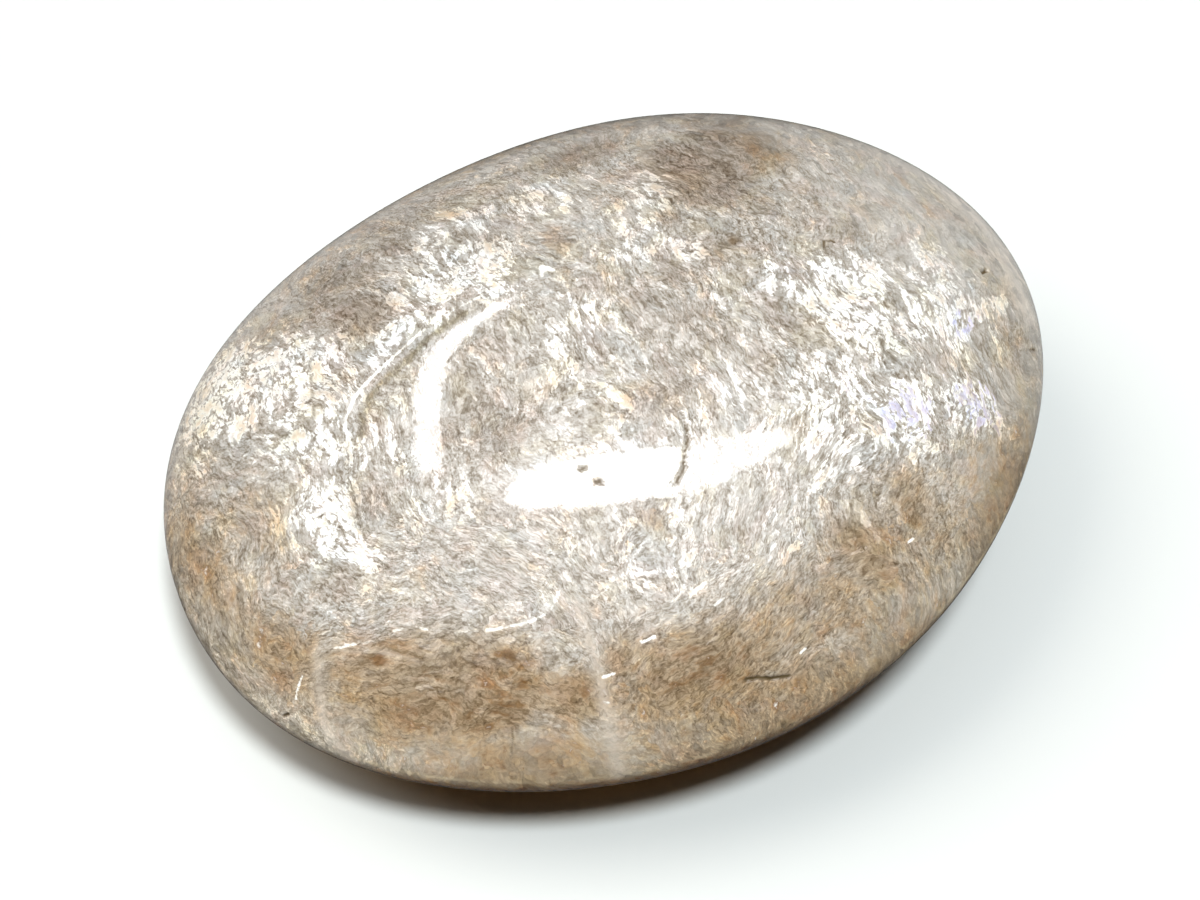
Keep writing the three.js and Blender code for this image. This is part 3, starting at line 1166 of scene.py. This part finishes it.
seen = add_node(tent, "ShaderNodeLightPath", {}, {}, "Is Camera Ray")
glow = add_node(tent, "ShaderNodeMix", {"data_type": "FLOAT"}, {0: seen, 2: glow, 3: 1})
glow_colour = add_node(
    tent, "ShaderNodeMix", {"data_type": "RGBA"}, {0: seen, 6: (1, 1, 1, 1), 7: linear(FAR_BOARD)}, 2
)
backdrop = add_node(tent, "ShaderNodeBackground", {}, {"Color": glow_colour, "Strength": glow})
add_node(tent, "ShaderNodeOutputWorld", {}, {"Surface": backdrop})
bpy.context.scene.world = tent

# Soft lamps: strength, colour, spread in degrees and the direction that the light comes from. The
# polish doesn't mirror them.
SOFT_LAMPS = [
    ("lamp_over_camera", 3.25, "FAFFFF", 10, (-0.05, -0.30, 0.95)),
    ("lamp_on_left", 1.5, "FFF6EA", 36, (-0.52, 0.36, 1.0)),
]
for name, strength, colour, spread, toward in SOFT_LAMPS:
    lamp = bpy.data.lights.new(name, "SUN")
    lamp.color = linear(colour)[:3]
    lamp.energy = strength
    lamp.angle = math.radians(spread)
    soft = bpy.data.objects.new(name, lamp)
    soft.location = toward
    soft.rotation_euler = Vector(toward).to_track_quat("Z", "Y").to_euler()
    soft.visible_glossy = False
    bpy.context.scene.collection.objects.link(soft)

# Strip lamps: radiance, then bends in plan, in metres, with the width at each. They only show in
# the polish.
STRIP_HEIGHT = 0.6
STRIPS = [
    # The hook.
    (
        15.0,
        [
            (0.088, 0.668, 0.026),
            (0.020, 0.630, 0.036),
            (-0.040, 0.560, 0.040),
            (-0.098, 0.447, 0.036),
            (-0.127, 0.370, 0.032),
            (-0.142, 0.315, 0.022),
        ],
    ),
    # The blade, a faint haze round it and its tail.
    (
        17.0,
        [
            (-0.060, 0.176, 0.058),
            (-0.010, 0.146, 0.080),
            (0.045, 0.118, 0.080),
            (0.097, 0.090, 0.075),
        ],
    ),
    (
        2.5,
        [
            (-0.082, 0.198, 0.084),
            (-0.020, 0.162, 0.120),
            (0.050, 0.122, 0.110),
        ],
    ),
    (
        12.5,
        [
            (0.097, 0.090, 0.075),
            (0.160, 0.070, 0.070),
            (0.225, 0.056, 0.040),
            (0.265, 0.051, 0.024),
        ],
    ),
]
# Each run from bend to bend is a flat panel, with a disc that rounds its start. A lamp's power is its
# radiance times its area times pi.
for radiance, bends in STRIPS:
    for (x, y, width), (next_x, next_y, next_width) in zip(bends, bends[1:]):
        run = Vector((next_x - x, next_y - y))
        pieces = [
            ("RECTANGLE", (x + next_x) / 2, (y + next_y) / 2, run.length, (width + next_width) / 2),
            ("DISK", x, y, width, width),
        ]
        for outline, centre_x, centre_y, length, breadth in pieces:
            lamp = bpy.data.lights.new("strip_lamp", "AREA")
            lamp.shape = outline
            lamp.size = length
            lamp.size_y = breadth
            area = length * breadth if outline == "RECTANGLE" else math.pi / 4 * length**2
            lamp.energy = radiance * math.pi * area
            strip = bpy.data.objects.new("strip_lamp", lamp)
            strip.location = (centre_x, centre_y, STRIP_HEIGHT)
            strip.rotation_euler = (0, 0, math.atan2(run.y, run.x))
            strip.visible_diffuse = False
            bpy.context.scene.collection.objects.link(strip)

bpy.context.scene.view_settings.view_transform = "Standard"

# ----------------------------------------------------------------------------------------------
# The camera: close above the near side and a little to the left, with a short telephoto lens. It
# aims at the middle of the stone, and a small shift centres the picture.
# ----------------------------------------------------------------------------------------------

AIM = Vector((-0.22, 0.36, 11.0)) * MM
CAMERA_DISTANCE = 0.24
CAMERA_ELEVATION = math.radians(54)
CAMERA_AZIMUTH = math.radians(-28.4)
FOCAL_LENGTH = 101.05
SENSOR_WIDTH = 36
# The picture's width and the camera's shift, in pixels.
PICTURE_WIDTH = 1200
SHIFT_RIGHT = -8.0
SHIFT_UP = -9.2
NEAR_LIMIT = 0.01
FAR_LIMIT = 20

back = Vector(
    (
        math.sin(CAMERA_AZIMUTH) * math.cos(CAMERA_ELEVATION),
        -math.cos(CAMERA_AZIMUTH) * math.cos(CAMERA_ELEVATION),
        math.sin(CAMERA_ELEVATION),
    )
)
lens = bpy.data.cameras.new("camera")
lens.lens = FOCAL_LENGTH
lens.sensor_width = SENSOR_WIDTH
lens.shift_x = SHIFT_RIGHT / PICTURE_WIDTH
lens.shift_y = SHIFT_UP / PICTURE_WIDTH
lens.clip_start = NEAR_LIMIT
lens.clip_end = FAR_LIMIT
camera = bpy.data.objects.new("camera", lens)
camera.location = AIM + back * CAMERA_DISTANCE
camera.rotation_euler = back.to_track_quat("Z", "Y").to_euler()
bpy.context.scene.collection.objects.link(camera)
bpy.context.scene.camera = camera
